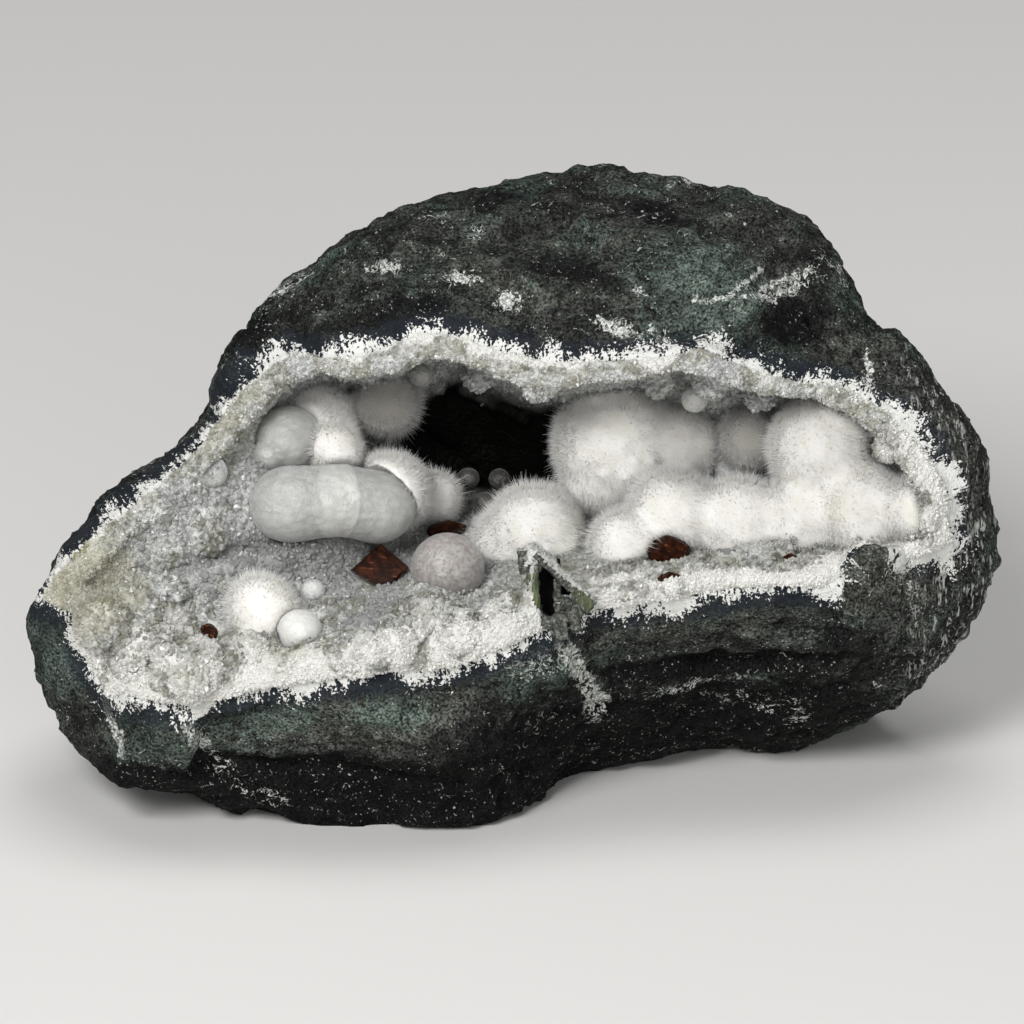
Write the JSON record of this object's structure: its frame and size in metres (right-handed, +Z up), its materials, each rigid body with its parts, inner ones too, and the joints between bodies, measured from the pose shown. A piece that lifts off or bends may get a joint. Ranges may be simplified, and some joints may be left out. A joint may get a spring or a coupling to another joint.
{
  "type": "okenite geode specimen",
  "caption": "Mineral specimen: a basalt nodule broken open on a white quartz-lined hollow, with fuzzy okenite puffballs, smooth gyrolite balls and brown crystals grown inside.",
  "frame": {"origin": "centre of the bounding box, at the flat underside that the specimen stands on", "axes": "+Z up, +X along the long side of the nodule, -Y towards the open mouth"},
  "size_m": [0.162, 0.0774, 0.0945],
  "materials": {
    "basalt": "rough, broken, matt",
    "quartz": "sugary, sparkling grains",
    "okenite": "soft white fibres",
    "gyrolite": "smooth, translucent, pearly",
    "brown_crystal": "glassy, bevelled"
  },
  "bodies": {
    "root": {"basalt_matrix": "basalt", "brown_blade": "brown_crystal", "brown_chip_left": "brown_crystal", "brown_chip_middle": "brown_crystal", "brown_chip_right": "brown_crystal", "brown_cluster": "brown_crystal", "brown_rhomb": "brown_crystal", "gyrolite_back_ball": "gyrolite", "gyrolite_centre_ball": "gyrolite", "gyrolite_deep_ball_1": "gyrolite", "gyrolite_deep_ball_2": "gyrolite", "gyrolite_deep_ball_3": "gyrolite", "gyrolite_edge_ball": "gyrolite", "gyrolite_front_pair": "gyrolite", "gyrolite_left_pair": "gyrolite", "gyrolite_roof_ball": "gyrolite", "gyrolite_roof_pair": "gyrolite", "gyrolite_small_ball": "gyrolite", "gyrolite_trio": "gyrolite", "okenite_back_ball": "okenite", "okenite_bank": "okenite", "okenite_corner_pair": "okenite", "okenite_floor_ball": "okenite", "okenite_front_ball": "okenite", "okenite_great_ball": "okenite", "okenite_left_group": "okenite", "okenite_roof_ball": "okenite", "quartz_crust": "quartz"}
  },
  "joints": []
}
